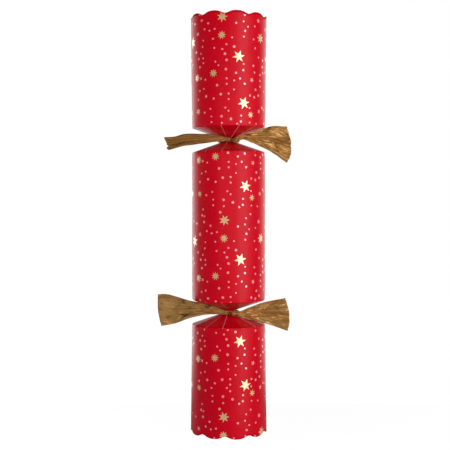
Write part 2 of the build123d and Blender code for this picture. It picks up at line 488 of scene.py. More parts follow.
@dataclass(frozen=True)
class Tissue(Finish):
    """Thin tissue paper: a soft colour that varies with its creases."""

    colour: Colour
    shade_colour: Colour
    crease_scale: float = 700.0
    fibre_scale: float = 1800.0
    crease_depth: float = 0.0003
    rough: float = 0.75

    def mix(self, recipe: Recipe) -> None:
        """Creases that run up the roll.

        Args:
            recipe: the material's empty tree.
        """
        creases = recipe.noise(recipe.place("Object", (1, 1, 0.12)), self.crease_scale, detail=5.0)
        fibres = recipe.noise(recipe.place("Object"), self.fibre_scale, detail=3.0)
        recipe.shade(
            Base_Color=recipe.ramp(creases, [(0.35, self.shade_colour), (0.62, self.colour)]),
            Roughness=self.rough + 0.15 * fibres,
            Normal=recipe.bump(creases + 0.3 * fibres, self.crease_depth, strength=0.7),
        )


@dataclass(frozen=True)
class TurnedWood(Finish):
    """Turned wood: growth rings about the turning axis, pores along it and a wax polish."""

    early: Colour
    late: Colour
    ring_scale: float = 150.0
    pore_scale: float = 1600.0
    pore_depth: float = 0.00005
    rough: float = 0.38
    wax: float = 0.15

    def mix(self, recipe: Recipe) -> None:
        """Rings about Z, broken up by noise, and pores stretched along Z.

        Args:
            recipe: the material's empty tree.
        """
        where = recipe.place("Object", (1, 1, 0.15))
        rings = recipe.node(
            "ShaderNodeTexWave",
            {"wave_type": "RINGS", "rings_direction": "Z"},
            Vector=where,
            Scale=self.ring_scale,
            Distortion=4.0,
            Detail=3.0,
        )
        pores = recipe.noise(recipe.place("Object", (1, 1, 0.08)), self.pore_scale, detail=3.0)
        grain = 0.7 * recipe.out(rings, "Fac") + 0.3 * pores
        recipe.shade(
            Base_Color=recipe.ramp(grain, [(0.25, self.late), (0.75, self.early)]),
            Roughness=self.rough + 0.2 * pores,
            Coat_Weight=self.wax,
            Normal=recipe.bump(pores, self.pore_depth, strength=0.5),
        )


RED_CARD = PrintedCard("red_printed_card", srgb(198, 0, 28), srgb(190, 0, 24))
CARD_BACK = Paper("card_back", srgb(226, 222, 214), srgb(206, 200, 190), 420.0)
CUT_EDGE = Paper("card_cut_edge", srgb(230, 158, 156), srgb(214, 126, 128), 900.0)
STAR_FOIL = GoldFoil("gold_star_foil", srgb(255, 210, 150), srgb(246, 198, 134), 0.42)
DOT_FOIL = GoldFoil("pale_dot_foil", srgb(255, 136, 138), srgb(255, 124, 126), 0.0)
# Its crease colour is painted shade along the crease lines
TIE_PAPER = CrinkledGold(
    "crinkled_gold_paper",
    crease_shade=srgb(100, 62, 20),
    fold=srgb(182, 134, 74),
    middle=srgb(200, 152, 88),
    crest=srgb(217, 171, 110),
)
# A darker copy of the tie paper for the loop and the knots: painted shade, for knots that lie in shadow
SHADED_KNOT_PAPER = CrinkledGold(
    "knot_paper",
    crease_shade=srgb(72, 38, 10),
    fold=srgb(146, 96, 46),
    middle=srgb(166, 113, 58),
    crest=srgb(196, 142, 80),
)
TUBE_BOARD = Paper("tube_board", srgb(176, 158, 130), srgb(140, 122, 96), 260.0)
SNAP_CARD = Paper("snap_card", srgb(206, 192, 166), srgb(178, 160, 130), 380.0)
SNAP_PAPER = Paper("snap_paper", srgb(232, 228, 218), srgb(214, 208, 196), 420.0)
MOTTO_PAPER = Paper("motto_paper", srgb(244, 242, 236), srgb(232, 228, 220), 500.0)
SNAP_GRIT = Grit("snap_grit", srgb(92, 84, 80), srgb(48, 42, 40))
HAT_TISSUE = Tissue("green_tissue", srgb(70, 150, 84), srgb(36, 104, 54))
TOP_WOOD = TurnedWood("waxed_beech", srgb(222, 178, 122), srgb(186, 132, 80))


def grid_faces(rows: int, columns: int, closed: bool, ringed: bool) -> Array:
    """Quads of a grid of points that are counted row by row.

    Args:
        rows, columns: the grid's size.
        closed: the last column joins the first.
        ringed: the last row joins the first.

    Returns:
        Four point numbers for each quad; they turn left from a step along a row to a step up a column.
    """
    row = np.arange(rows if ringed else rows - 1)[:, None]
    column = np.arange(columns if closed else columns - 1)[None, :]
    up, right = (row + 1) % rows, (column + 1) % columns
    low, high = row * columns, up * columns
    return together(low + column, low + right, high + right, high + column).reshape(-1, 4)


@dataclass
class Surface:
    """A mesh on its way to becoming a piece: points in millimetres, faces, and where faces differ."""

    points: Array
    faces: Array
    slots: Array | None = None
    flat: Array | None = None

    @classmethod
    def of_grid(
        cls,
        points: Array,
        flip: bool = False,
        closed: bool = False,
        ringed: bool = False,
        slots: Array | None = None,
        flat: Array | None = None,
    ) -> "Surface":
        """The quads between points that stand in rows and columns.

        Args:
            points: the grid.
            flip: turns the quads round.
            closed, ringed: the last column, the last row joins the first.
            slots: a material slot for each quad.
            flat: each point's place on the flat paper.

        Returns:
            The surface.
        """
        faces = grid_faces(*points.shape[:2], closed, ringed)
        plan = None if flat is None else flat.reshape(-1, 2)
        return cls(points.reshape(-1, 3), faces[:, ::-1] if flip else faces, slots, plan)

    def piece(self, name: str, finishes: list[Finish], sharp: float = 40.0) -> bpy.types.Object:
        """Puts the surface into the scene.

        Args:
            name: the piece's name.
            finishes: one finish for each material slot.
            sharp: edges that turn by more degrees than this stay crisp.

        Returns:
            The new object, at the origin, with its place in its mesh.
        """
        mesh = bpy.data.meshes.new(name)
        mesh.from_pydata((self.points * MM).tolist(), [], self.faces.tolist())
        mesh.polygons.foreach_set("use_smooth", np.ones(len(mesh.polygons), bool))
        if self.slots is not None:
            mesh.polygons.foreach_set("material_index", self.slots.astype(np.int32))
        if self.flat is not None:
            corners = np.empty(len(mesh.loops), np.int32)
            mesh.loops.foreach_get("vertex_index", corners)
            mesh.uv_layers.new(name="flat_paper").data.foreach_set("uv", (self.flat * MM)[corners].ravel())
        mesh.set_sharp_from_angle(angle=math.radians(sharp))
        mesh.update()
        made = bpy.data.objects.new(name, mesh)
        bpy.context.collection.objects.link(made)
        for finish in finishes:
            mesh.materials.append(finish.material())
        return made


def around(bearing: Array, radius: Array, height: Array) -> Array:
    """Points at bearings in degrees from the front, -Y, towards +X, at a radius and a height."""
    angle = np.radians(bearing)
    return together(radius * np.sin(angle), -radius * np.cos(angle), height)


def thicken(
    piece: bpy.types.Object, thickness: float, offset: float, back: int = 0, rim: int = 0, even: bool = True
) -> None:
    """Gives a sheet its thickness.

    Args:
        piece: the sheet.
        thickness: in millimetres.
        offset: -1 for a wall behind the surface, 0 for one on both sides of it.
        back, rim: steps in the material slots to the back's finish and the cut edge's.
        even: keeps the thickness at sharp corners.
    """
    wall = piece.modifiers.new("paper_thickness", "SOLIDIFY")
    wall.thickness = thickness * MM
    wall.offset = offset
    wall.material_offset = back
    wall.material_offset_rim = rim
    wall.use_even_offset = even


@dataclass
class Sleeve(ABC):
    """A printed card sleeve: round in its open stretch, folded in along petals to a choke.

    Sizes are in millimetres. The card's printed side is worked out, and its thickness goes inwards.
    The slits are counted from the first one, and a shut slit shows no cut edge. The rates say how
    quickly along a cone its flats and steps come in, its steps go out and the lap goes out.
    """

    name: str
    body: str
    wrapper_radius: float = 27.0
    throat_radius: float = 6.0
    throat_half: float = 1.6
    cone_height: float = 8.95
    tear_half: float = 0.1
    card: float = 0.4
    waver: float = 0.1
    waver_run: float = 100.0
    fold_round: float = 0.55
    fold_rows: int = 4
    cone_start: float = 0.06
    cone_rows: int = 14
    throat_start: float = 0.6
    throat_rows: int = 3
    petals: int = 13
    first_slit: float = -12.0
    shut_slits: tuple[int, ...] = ()
    slit_width: float = 0.32
    back_slot: int = 1
    edge_slot: int = 2
    petal_columns: int = 26
    petal_step: float = 0.08
    lap_slit: int = 7
    lap_lift: float = 0.42
    flatten_at_fold: float = 0.5
    flatten_reach: float = 3.2
    flatten_in_cone: float = 0.4
    flat_rate: float = 4.0
    step_in_rate: float = 6.0
    step_out_rate: float = 5.0
    lap_out_rate: float = 3.0

    @property
    def pitch(self) -> float:
        """Degrees from one slit to the next."""
        return FULL_TURN / self.petals

    def columns(self, radius: Array) -> tuple[Array, Array]:
        """The grid's columns, which leave the same width for a slit at every radius.

        Args:
            radius: radius of each row, as a column of numbers.

        Returns:
            Bearings of the columns in each row, and each column's share of the way across its petal.
        """
        share = np.tile(np.linspace(0, 1, self.petal_columns), self.petals)
        petal = np.repeat(np.arange(self.petals), self.petal_columns)
        half = np.degrees(self.slit_width / 2 / radius)
        return self.first_slit + self.pitch * petal + half + share * (self.pitch - 2 * half), share

    def flattening(self, bearing: Array) -> Array:
        """How much of its radius a flat petal loses at a bearing: 1 - cos(half) / cos(from middle)."""
        off = np.mod(bearing - self.first_slit, self.pitch) - self.pitch / 2
        return 1 - math.cos(math.radians(self.pitch / 2)) / np.cos(np.radians(off))

    def lap(self, bearing: Array) -> Array:
        """Lift of the glued lap at the back: a step at one slit, easing off over the next petal."""
        past = np.mod(bearing - self.first_slit - self.lap_slit * self.pitch, FULL_TURN)
        return self.lap_lift * (1 - smooth_step(past / self.pitch))

    def unevenness(self, bearing: Array, height: Array) -> Array:
        """The slight waver of rolled card: a few slow waves round it and along it."""
        waves = [(2, 0.7, 0.1), (3, -1.1, 0.45), (5, 1.9, 0.8)]
        return self.waver * ripple(bearing / FULL_TURN, height / self.waver_run, waves)

    def wall(self, bearing: Array, height: Array, near_fold: Array, flare: Array) -> Array:
        """Radius of the open stretch: the flare, the waver, the lap, and flats beside a fold."""
        flats = self.flatten_at_fold * np.exp(-near_fold / self.flatten_reach) * self.flattening(bearing)
        return flare * (1 - flats) + self.unevenness(bearing, height) + self.lap(bearing)

    def choke_rows(self) -> tuple[Array, Array]:
        """The fold and the cone as a profile.

        Returns:
            Radius, and distance past the fold towards the neck, from a small round at the fold to the
            throat's torn edge.
        """
        run = self.wrapper_radius - self.throat_radius
        rise = self.cone_height - self.throat_half
        slope = math.atan2(rise, run)
        turn = np.linspace(1 / self.fold_rows, 1, self.fold_rows) * (math.pi / 2 - slope)
        reach = self.fold_round * math.tan((math.pi / 2 - slope) / 2)
        bend_radius = self.wrapper_radius - self.fold_round * (1 - np.cos(turn))
        bend_past = self.fold_round * np.sin(turn) - reach
        down = np.linspace(self.cone_start, 1, self.cone_rows)
        cone_radius = self.wrapper_radius - run * down
        cone_past = rise * down
        throat = np.linspace(self.throat_start * self.throat_half, self.tear_half, self.throat_rows)
        throat_past = self.cone_height - throat
        radius = np.concatenate([bend_radius, cone_radius, np.full(self.throat_rows, self.throat_radius)])
        return radius, np.concatenate([bend_past, cone_past, throat_past])

    def choke(self) -> tuple[Array, Array, Array]:
        """The petals of a choke on the grid.

        Each petal is flat, and lies over its neighbour at one slit and under the other at the next.

        Returns:
            Bearing, radius and distance past the fold, one row for each row of the profile.
        """
        radius, past = self.choke_rows()
        bearing, share = self.columns(radius[:, None])
        depth = np.clip(past / self.cone_height, 0, 1)[:, None]
        flatness = self.flatten_at_fold + self.flatten_in_cone * smooth_step(self.flat_rate * depth)
        flats = flatness * self.flattening(bearing)
        ends = smooth_step(self.step_in_rate * depth) * smooth_step(self.step_out_rate * (1 - depth))
        over = self.petal_step * (share - 0.5) * ends
        waver = self.unevenness(bearing, past[:, None]) * (1 - depth)
        lapped = self.lap(bearing) * (1 - smooth_step(self.lap_out_rate * depth))
        return bearing, radius[:, None] * (1 - flats) + waver + lapped, past[:, None] - over

    def seams(self, in_choke: Array) -> Array:
        """Material slots of the grid's quads: the cut edge at the open slits and at the lap's edge.

        Args:
            in_choke: for each row of quads, whether it lies in a choke.

        Returns:
            One slot for each quad.
        """
        column = np.arange(self.petals * self.petal_columns)
        at_slit = column % self.petal_columns == self.petal_columns - 1
        at_slit &= ~np.isin(column // self.petal_columns + 1, self.shut_slits)
        at_lap = column == self.lap_slit * self.petal_columns - 1
        return (self.edge_slot * np.where(in_choke[:, None], at_slit, at_lap)).ravel()

    @abstractmethod
    def on_wall(self, bearing: Array, height: Array, lift: Array) -> Array:
        """Points on the printed wall.

        Args:
            bearing, height: where they are.
            lift: how far they stand off the wall.

        Returns:
            The points, with three coordinates each.
        """

    @abstractmethod
    def surface(self) -> Surface:
        """The printed side of the whole sleeve."""

    def build(self) -> None:
        """Makes the sleeve, gives its card its thickness and puts it on its body."""
        piece = self.surface().piece(f"{self.name}_card", [RED_CARD, CARD_BACK, CUT_EDGE])
        thicken(piece, self.card, offset=-1.0, back=self.back_slot, rim=self.edge_slot)
        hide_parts(self.name)
        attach(piece, self.body)
        LOG.info("%s: %d faces", piece.name, len(piece.data.polygons))


@dataclass
class HandleSleeve(Sleeve):
    """An open handle: a flared sleeve with a scalloped rim at one end and a choke at the other."""

    rim_height: float = 0.0
    upward: int = 1
    rim_radius: float = 28.0
    length: float = 78.8
    scallops: int = 10
    scallop_depth: float = 2.0
    scallop_flat: float = 0.6
    crest_share: float = 0.72
    valley_bearing: float = -5.5
    rim_margin: float = 0.1
    wall_rows: int = 50

    def scallop(self, bearing: Array) -> Array:
        """How far the rim is cut back: an arc in the valley between the arcs of two crests.

        Args:
            bearing: where on the rim.

        Returns:
            Millimetres from the crests' tops.
        """
        pitch = FULL_TURN / self.scallops
        off = np.abs(np.mod(bearing - self.valley_bearing + pitch / 2, pitch) - pitch / 2)
        bend = self.rim_radius * math.sin(math.pi / self.scallops) - self.scallop_flat
        across = np.minimum(self.rim_radius * np.sin(np.radians(off)), bend)
        turn = 2 * math.atan(self.scallop_depth / bend)
        crest = self.crest_share * bend / math.sin(turn)
        valley = (1 - self.crest_share) * bend / math.sin(turn)
        in_valley = across < valley * math.sin(turn)
        deep = self.scallop_depth - valley + np.sqrt(np.maximum(valley**2 - across**2, 0))
        return np.where(in_valley, deep, crest - np.sqrt(np.maximum(crest**2 - (bend - across) ** 2, 0)))

    def radius_at(self, bearing: Array, from_rim: Array) -> Array:
        """Radius of the printed wall at a distance from the rim's crests, on a straight flare."""
        flare = self.rim_radius + (self.wrapper_radius - self.rim_radius) * from_rim / self.length
        return self.wall(bearing, from_rim, self.length - from_rim, flare)

    def on_wall(self, bearing: Array, height: Array, lift: Array) -> Array:
        """Points on the printed wall, held between the rim and the fold.

        Args:
            bearing, height: where they are.
            lift: how far they stand off the wall.

        Returns:
            The points, with three coordinates each.
        """
        from_rim = self.upward * (height - self.rim_height)
        highest = self.length - self.fold_round
        held = np.clip(from_rim, self.scallop(bearing) + self.rim_margin, highest)
        return around(bearing, self.radius_at(bearing, held) + lift, self.rim_height + self.upward * held)

    def surface(self) -> Surface:
        """Rows from the scalloped rim to the fold, then over the petals to the throat.

        Returns:
            The printed side, with the slots of its cut edges.
        """
        bearing, _ = self.columns(np.full((self.wall_rows, 1), self.wrapper_radius))
        step = np.linspace(0, 1, self.wall_rows)[:, None]
        rim = self.scallop(bearing)
        from_rim = rim + step * (self.length - self.fold_round - rim)
        choke_bearing, choke_radius, past = self.choke()
        radius = np.vstack([self.radius_at(bearing, from_rim), choke_radius])
        from_rim = np.vstack([from_rim, self.length + past])
        bearing = np.vstack([bearing, choke_bearing])
        points = around(bearing, radius, self.rim_height + self.upward * from_rim)
        slots = self.seams(np.arange(len(radius) - 1) >= self.wall_rows)
        return Surface.of_grid(points, flip=self.upward < 0, closed=True, slots=slots)


@dataclass
class BarrelSleeve(Sleeve):
    """The barrel: a straight sleeve with a choke at each end."""

    bottom: float = 96.7
    top: float = 205.3
    wall_rows: int = 60

    def radius_at(self, bearing: Array, height: Array) -> Array:
        """Radius of the printed wall at a height."""
        near = np.minimum(height - self.bottom, self.top - height)
        return self.wall(bearing, height, near, np.full_like(height, self.wrapper_radius))

    def on_wall(self, bearing: Array, height: Array, lift: Array) -> Array:
        """Points on the printed wall, held between the folds."""
        held = np.clip(height, self.bottom + self.fold_round, self.top - self.fold_round)
        return around(bearing, self.radius_at(bearing, held) + lift, held)

    def surface(self) -> Surface:
        """Rows from the lower throat over its petals, up the wall and over the upper petals.

        Returns:
            The printed side, with the slots of its cut edges.
        """
        bearing, _ = self.columns(np.full((self.wall_rows, 1), self.wrapper_radius))
        step = np.linspace(self.bottom + self.fold_round, self.top - self.fold_round, self.wall_rows)
        height = np.broadcast_to(step[:, None], bearing.shape)
        choke_bearing, choke_radius, past = self.choke()
        radius = np.vstack([choke_radius[::-1], self.radius_at(bearing, height), choke_radius])
        bearing = np.vstack([choke_bearing[::-1], bearing, choke_bearing])
        heights = np.vstack([self.bottom - past[::-1], height, self.top + past])
        rows = np.arange(len(radius) - 1)
        in_choke = (rows < len(choke_radius)) | (rows >= len(choke_radius) + self.wall_rows - 1)
        points = around(bearing, radius, heights)
        return Surface.of_grid(points, closed=True, slots=self.seams(in_choke))


class Motif(Enum):
    """Shapes of the print: points, radius in millimetres and the share of it between two points."""

    SIX_STAR = (6, 4.6, 0.42)
    SEVEN_STAR = (7, 3.95, 0.46)
    BURST = (9, 3.1, 0.5)
    SPARK = (7, 2.6, 0.42)
    TINY_STAR = (5, 1.8, 0.5)
    DOT = (5, 1.1, 0.96)

    @property
    def points(self) -> int:
        """Number of points."""
        return self.value[0]

    @property
    def radius(self) -> float:
        """Radius of the points."""
        return self.value[1]

    @property
    def waist(self) -> float:
        """Share of the radius between two points."""
        return self.value[2]


@dataclass(frozen=True)
class Stamp:
    """One motif of the print's repeat: its bearing, its drop below the repeat's top and its turn."""

    motif: Motif
    bearing: float
    drop: float
    spin: float = 0.0


# Dots of the print's repeat by their size, a share of the motif's radius: bearing and drop of each
DOT_PLACES: dict[float, tuple[tuple[float, float], ...]] = {
    0.6: (
        (23.3, 3), (30.5, 6.5), (23.8, 13.9), (6, 14.8), (-40.2, 15.8), (23.6, 33.2), (-14.4, 34.3),
        (9.1, 45.2), (8.9, 51.6), (-26.1, 70.5), (34.9, 74.7), (25.2, 83.7),
    ),
    0.68: (
        (43, 5.6), (-37.5, 7.8), (-20.2, 8.4), (-28.5, 9.3), (40.9, 15), (-22.8, 15.3), (-2.5, 19.6),
        (-41.6, 20.2), (-20.8, 21.9), (-8.5, 22.9), (-45.5, 24.9), (-40.6, 28.5), (-19, 31.7),
        (-40.3, 32), (18.1, 43.7), (-2.1, 43.7), (-36.5, 44), (-2, 47.6), (-39.5, 50.4), (0.8, 54.5),
        (0.9, 58.4), (34.3, 64.3), (-4.1, 64.5), (-27.7, 65), (0.7, 66.7), (20.2, 70), (-26.1, 74.5),
        (-9.5, 75.2), (47.8, 75.3), (14, 75.9), (-44.9, 77.5), (33, 80.9), (-42, 82.4),
    ),
    0.77: (
        (-60.2, 2.6), (-30.8, 4), (12, 4.4), (25.8, 9.7), (44.4, 21.2), (52, 27.4), (40.9, 33.9),
        (23.2, 37.6), (43.2, 38.6), (12, 39.8), (25.5, 47.3), (56.4, 39.8), (56.5, 44), (57, 48.1),
        (-48.2, 51.6), (34.9, 55.4), (-22.2, 57.8), (-38.4, 67.4), (19.8, 74.2),
    ),
    0.9: (
        (-42.8, 1.3), (9, 21.2), (-57, 23.4), (-4.6, 26.3), (-50.5, 28.5), (64.2, 28.9), (-2.2, 30.7),
        (63.2, 33.6), (-47.7, 34.5), (-3.1, 37.2), (64.7, 37.9), (-45.7, 42.8), (-16.7, 48.4),
        (45.6, 50.9), (52.4, 54.7), (-11, 54.9), (-35.2, 55.9), (43.2, 56.4), (-52.2, 57.7), (63.5, 63.2),
        (-9.9, 70.6), (4.3, 72.5), (-14.9, 79.5), (-46.8, 81.8),
    ),
}


@dataclass
class StarPrint:
    """Foil stars and dots, a square repeat that goes twice round the sheet and on down it.

    The overlap is what a join across the sheet takes out of each repeat, over a run below a drop.
    """

    sleeve: Sleeve
    top_star: float
    low: float
    high: float
    turned: float
    overlap: float = 0.0
    join_drop: float = 58.4
    join_run: float = 5.8
    repeat: float = 85.2
    round_repeats: int = 2
    repeats_each_way: int = 2
    front_half: float = 22.0
    side_turn: float = 90.0
    dot_turn: float = 9.0
    clearance: float = 1.2
    lift: float = 0.05
    sink: float = 0.12
    rings: tuple[float, ...] = (0.36, 0.7, 1.0)
    stamps: tuple[Stamp, ...] = (
        Stamp(Motif.SEVEN_STAR, -8.5, 0.0, 34.0),
        Stamp(Motif.BURST, -9.2, 12.9, 4.0),
        Stamp(Motif.SIX_STAR, 15.8, 28.0, 20.0),
        Stamp(Motif.BURST, -22.6, 39.8, 0.0),
        Stamp(Motif.SIX_STAR, 24.4, 61.0, 18.0),
        Stamp(Motif.SPARK, 36.4, 69.1, 10.0),
        Stamp(Motif.SEVEN_STAR, 56.4, 13.3, 18.0),
        Stamp(Motif.SIX_STAR, -68.0, 15.5, 10.0),
        Stamp(Motif.BURST, -54.8, 42.0, 9.0),
        Stamp(Motif.SPARK, -52.5, 66.3, 0.0),
        Stamp(Motif.TINY_STAR, 38.1, 44.2, 20.0),
        Stamp(Motif.TINY_STAR, 50.7, 1.1, 0.0),
        Stamp(Motif.TINY_STAR, -52.0, 10.4, 30.0),
        Stamp(Motif.TINY_STAR, 54.3, 66.2, 12.0),
        Stamp(Motif.SEVEN_STAR, 88.0, 42.0, 10.0),
        Stamp(Motif.SIX_STAR, 85.5, 5.0, 40.0),
        Stamp(Motif.BURST, 100.0, 66.0, 4.0),
        Stamp(Motif.SPARK, 78.0, 27.0, 10.0),
        Stamp(Motif.TINY_STAR, 104.0, 28.0, 12.0),
    )

    def spread(self, stamps: Array) -> Array:
        """Repeats rows of the print round the sheet and down it, kept to the sleeve's heights.

        Args:
            stamps: rows of one repeat, that start with a bearing and a drop.

        Returns:
            All the rows, with a height in place of the drop.
        """
        turns = FULL_TURN / self.round_repeats * np.arange(self.round_repeats)
        away = self.repeats_each_way
        steps = (self.repeat - self.overlap) * np.arange(-away, away + 1)
        turn, step = (a.ravel() for a in np.meshgrid(turns, steps))
        many = np.repeat(stamps[None], len(turn), axis=0)
        many[..., 0] += turn[:, None] + self.turned
        drop = many[..., 1] - self.overlap * np.clip((many[..., 1] - self.join_drop) / self.join_run, 0, 1)
        many[..., 1] = self.top_star - drop - step[:, None]
        rows = many.reshape(-1, stamps.shape[1])
        return rows[(rows[:, 1] > self.low) & (rows[:, 1] < self.high)]

    def dots(self) -> Array:
        """The dots of one repeat.

        The stretch between two fronts, which is not seen from the front, has the front's own dots
        again, a quarter turn on and half a repeat down, where they are clear of its stars.

        Returns:
            Rows of bearing, drop, turn and size.
        """
        sized = [(bearing, drop, size) for size, places in DOT_PLACES.items() for bearing, drop in places]
        front = np.array([(bearing, drop, self.dot_turn * drop, size) for bearing, drop, size in sized])
        moved = np.array([self.side_turn, self.repeat / 2, 0, 0])
        again = front[np.abs(front[:, 0]) < self.front_half] + moved
        again[:, 1] = np.mod(again[:, 1], self.repeat)
        clear = np.ones(len(again), bool)
        for stamp in self.stamps:
            side = np.radians(again[:, 0] - stamp.bearing) * self.sleeve.wrapper_radius
            fall = np.mod(again[:, 1] - stamp.drop + self.repeat / 2, self.repeat) - self.repeat / 2
            clear &= np.hypot(side, fall) > stamp.motif.radius + self.clearance
        return np.vstack([front, again[clear]])

    def plates(self, motif: Motif, rows: Array) -> tuple[Array, Array]:
        """Thin closed foil plates that lie on the card.

        A plate is rings of an outline whose radius goes in and out between its points, from a middle
        point over the card to a ring and a middle point under it.

        Args:
            motif: the outline.
            rows: bearing, height, turn and size of each plate.

        Returns:
            Points and triangles of all the plates.
        """
        count = 2 * motif.points
        angle = 2 * np.pi * np.arange(count) / count
        outline = motif.radius * np.where(np.arange(count) % 2 == 0, 1, motif.waist)
        reach = np.concatenate([[0], np.repeat(self.rings, count), np.tile(1.0, count), [0]])
        loops = len(self.rings) + 1
        above, below = 1 + len(self.rings) * count, count + 1
        level = np.repeat([self.lift, -self.sink], [above, below])
        arm = np.concatenate([[0], np.tile(outline, loops), [0]]) * reach
        aim = np.concatenate([[0], np.tile(angle, loops), [0]])
        turned = aim[None, :] + np.radians(rows[:, 2:3])
        across = arm[None, :] * np.sin(turned) * rows[:, 3:4]
        rise = arm[None, :] * np.cos(turned) * rows[:, 3:4]
        bearing = rows[:, 0:1] + np.degrees(across / self.sleeve.wrapper_radius)
        points = self.sleeve.on_wall(bearing, rows[:, 1:2] + rise, level[None, :])

        here, there = np.arange(count), (np.arange(count) + 1) % count
        fan = [together(0, 1 + there, 1 + here)]
        for ring in range(loops - 1):
            low, high = 1 + ring * count, 1 + (ring + 1) * count
            fan.append(together(low + here, low + there, high + there))
            fan.append(together(low + here, high + there, high + here))
        last = 1 + (loops - 1) * count
        fan.append(together(last + here, last + there, last + count))
        faces = np.vstack(fan)[None] + len(reach) * np.arange(len(rows))[:, None, None]
        return points.reshape(-1, 3), faces.reshape(-1, 3)

    def build(self) -> None:
        """Makes all the foil of one sleeve and puts it on the sleeve's body."""
        points, faces, slots, start = [], [], [], 0
        for motif in Motif:
            if motif is Motif.DOT:
                rows = self.spread(self.dots())
            else:
                chosen = [(s.bearing, s.drop, s.spin, 1.0) for s in self.stamps if s.motif is motif]
                rows = self.spread(np.array(chosen))
            made, triangles = self.plates(motif, rows)
            points.append(made)
            faces.append(triangles + start)
            slots.append(np.full(len(triangles), int(motif in (Motif.DOT, Motif.TINY_STAR))))
            start += len(made)
        leaf = Surface(np.vstack(points), np.vstack(faces), np.concatenate(slots))
        piece = leaf.piece(f"{self.sleeve.name}_foil", [STAR_FOIL, DOT_FOIL])
        self.clean(piece.data)
        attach(piece, self.sleeve.body)
        LOG.info("%s: %d faces", piece.name, len(piece.data.polygons))

    @staticmethod
    def clean(mesh: bpy.types.Mesh) -> None:
        """Takes out faces that a rim or a fold has cut to nothing, and turns the rest outwards.

        Args:
            mesh: the plates.
        """
        work = bmesh.new()
        work.from_mesh(mesh)
        bmesh.ops.dissolve_degenerate(work, dist=1e-6, edges=work.edges)
        bmesh.ops.recalc_face_normals(work, faces=work.faces)
        work.to_mesh(mesh)
        work.free()


class Side(Enum):
    """Which way a tail goes from the knot."""

    LEFT = -1
    RIGHT = 1


@dataclass
class Tail:
    """One tail of a tie: a strip of metallic crepe paper, gathered at the knot and spread to its cut end.

    Heights are over the tie's neck, and reach is the distance from the cracker's axis. The edges are
    stations of (reach, low edge, high edge), and the cut is the cut end's (share of the rise, reach).
    The section gives the main folds of the spread strip: at a share of its flat width, the share of
    the rise and how far it stands out to the front. The depth is how far the strip stands in front
    of the axis, by reach, and the crumples are the facets' sizes as (finer by, share of the height).
    The fold rate says how quickly along the strip its main folds come in.
    """

    side: Side
    edges: list[tuple[float, float, float]]
    cut: list[tuple[float, float]]
    section: list[tuple[float, float, float]]
    crumple: float
    cells: tuple[int, int]
    seed: int
    depth: tuple[tuple[float, float], ...] = (
        (1.0, 10.2), (8.0, 9.4), (17.0, 8.4), (32.0, 7.0), (47.0, 5.5),
    )
    width: float = 28.0
    shown_range: tuple[float, float] = (0.12, 0.96)
    least_pleat: float = 0.6
    ragged: float = 0.12
    crumples: tuple[tuple[int, float], ...] = ((1, 1.0), (2, 0.32), (5, 0.06))
    knot_crumple: float = 0.2
    fold_rate: float = 2.0
    roll_step: float = 10.0
    pleats: int = 7
    pleat_columns: int = 24
    face_share: float = 0.6
    slot_share: float = 0.25
    tuck: float = 0.75
    spread: float = 7.0
    broad: float = 26.0
    rows: int = 170

    def surface(self) -> Surface:
        """The strip as a function of its share across and its share along.

        Across, it follows the section, stretched between the two edges. The flat width that the edges
        leave no room for is tucked behind pleats, whose faces stay in front. All along the strip the
        facets of crumpled paper are added in three sizes, which grow with the fan.

        Returns:
            The strip's front side, with its flat paper map.
        """
        draw = np.random.default_rng(self.seed)
        grade = np.linspace(0, 1, self.rows)[:, None]
        along = (self.spread**grade - 1) / (self.spread - 1)
        share, rise, fold = zip(*self.section)
        reach, low, high = zip(*self.edges)
        middle = reach[0] + along * self.length
        wide = smooth_through(middle, reach, high) - smooth_through(middle, reach, low)
        shown = np.clip(wide * np.abs(np.diff(rise)).sum() / self.width, *self.shown_range)

        sizes = self.least_pleat + draw.random(self.pleats)
        starts = (np.cumsum(sizes) - sizes) / sizes.sum()
        column = np.arange(self.pleats * self.pleat_columns + 1)
        pleat = np.minimum(column // self.pleat_columns, self.pleats - 1)
        part = column / self.pleat_columns - pleat
        face = np.clip(part / self.face_share, 0, 1)
        behind = np.clip((part - self.face_share) / (1 - self.face_share), 0, 1)
        size = (sizes / sizes.sum())[pleat]
        slot = self.slot_share * (1 - shown)
        across = starts[pleat] + size * ((1 - slot) * face + slot * behind)
        flat_across = starts[pleat] + size * (shown * face + (1 - shown) * behind)
        tucked = self.tuck * self.width / 2 * size * (1 - shown) * (1 - np.abs(2 * behind - 1))

        lift = smooth_through(across, share, rise)
        rags = ripple(across, 0 * across, [(7, 0, 0.1), (13, 0, 0.4)])
        end = smooth_through(lift, *zip(*self.cut)) + self.ragged * rags
        out = reach[0] + along * (end - reach[0])
        bottom = smooth_through(out, reach, low)
        room = smooth_through(out, reach, high) - bottom
        rough = np.zeros(out.shape)
        for finer, much in self.crumples:
            rough += much * folded(across, grade, (finer * self.cells[0], finer * self.cells[1]), draw)
        fan = self.knot_crumple + (1 - self.knot_crumple) * room / self.broad

        main = smooth_through(across, share, fold) * smooth_step(self.fold_rate * along) * room / room[-1]
        toward = smooth_through(out, *zip(*self.depth)) + main - tucked + self.crumple * fan * rough
        up = bottom + room * lift
        points = together(self.side.value * out, -toward, up)
        flat = together(flat_across * self.width, self.roll_step * self.seed + out)
        return Surface.of_grid(points, flip=self.side is Side.RIGHT, flat=flat)

    @property
    def length(self) -> float:
        """The strip's reach to the side, from the knot to the mean of its cut end."""
        return float(np.mean([reach for _, reach in self.cut])) - self.edges[0][0]


